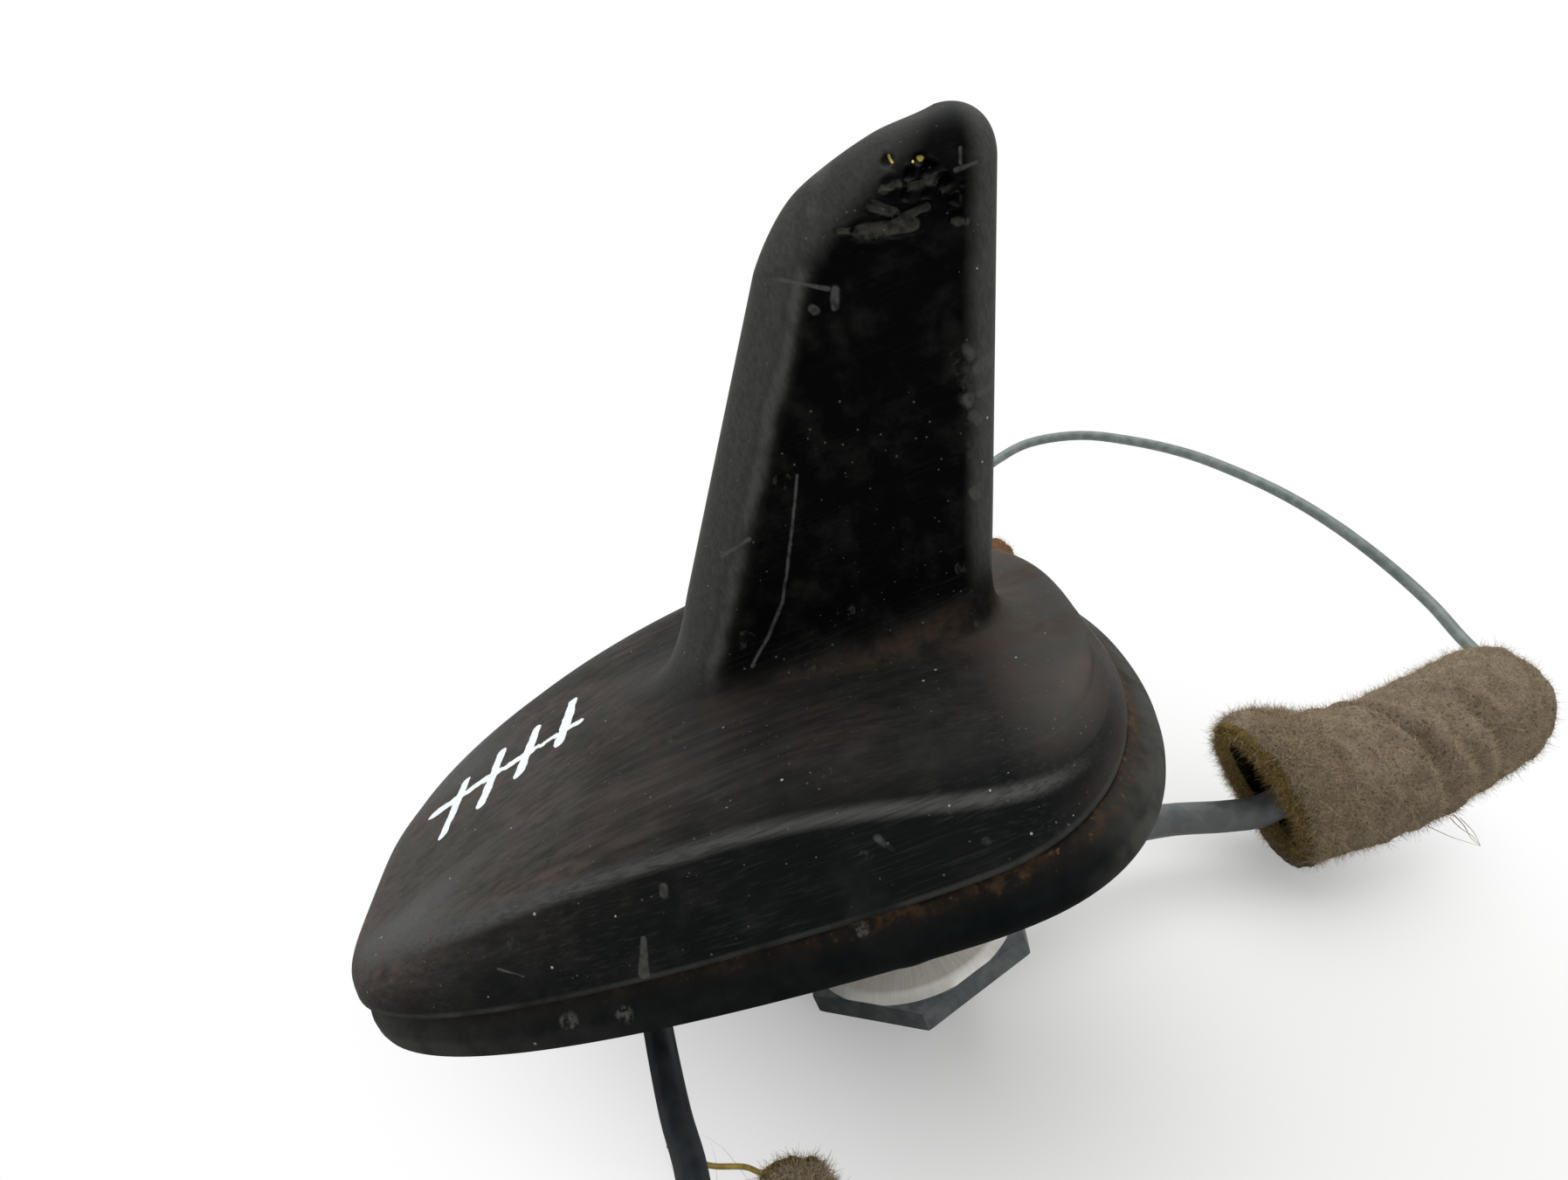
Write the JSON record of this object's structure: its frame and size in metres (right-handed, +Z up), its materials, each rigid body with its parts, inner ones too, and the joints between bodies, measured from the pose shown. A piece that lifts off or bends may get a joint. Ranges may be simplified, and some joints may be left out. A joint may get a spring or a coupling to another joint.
{
  "type": "car roof antenna",
  "caption": "Car roof antenna: black moulded cover with a swept-back fin, rubber gasket, hollow threaded stud with clamping nut, and coaxial leads with foam sleeves.",
  "frame": {"origin": "on the axis of the threaded stud, in the plane of the roof (the gasket's underside)", "axes": "+Z up from the roof, -X towards the nose, +X towards the fin's tip and the tail, symmetric about Y = 0"},
  "size_m": [0.1934, 0.3045, 0.1611],
  "materials": {
    "cover_plastic": "satin",
    "rubber": "matte",
    "die_cast": "satin",
    "nut_steel": "satin",
    "circuit_board": "satin",
    "steel": "polished",
    "ceramic": "matte",
    "silver": "satin",
    "brass": "satin",
    "cable_jacket": "satin",
    "wire_yellow": "satin",
    "foam": "matte",
    "foam_brown": "matte",
    "plug_amber": "satin"
  },
  "bodies": {
    "root": {"cover": "cover_plastic", "seal_gasket": "rubber", "base_plate": "die_cast", "hex_nut": "nut_steel", "main_board": "circuit_board", "board_screws": "steel", "shield_can": "steel", "patch_ceramic": "ceramic", "patch_electrode": "silver", "feed_pin": "brass", "fin_board": "circuit_board", "fin_radiator": "brass", "contact_spring": "brass", "coax_ferrules": "silver", "inner_leads": "cable_jacket", "stud_grommet": "rubber", "lead_front": "cable_jacket", "lead_rear": "cable_jacket", "lead_thin": "cable_jacket", "yellow_wire": "wire_yellow", "foam_sleeve": "foam", "connector_rear": "plug_amber", "foam_front": "foam", "connector_front": "plug_amber", "foam_far": "foam_brown", "connector_far": "plug_amber"}
  },
  "joints": []
}
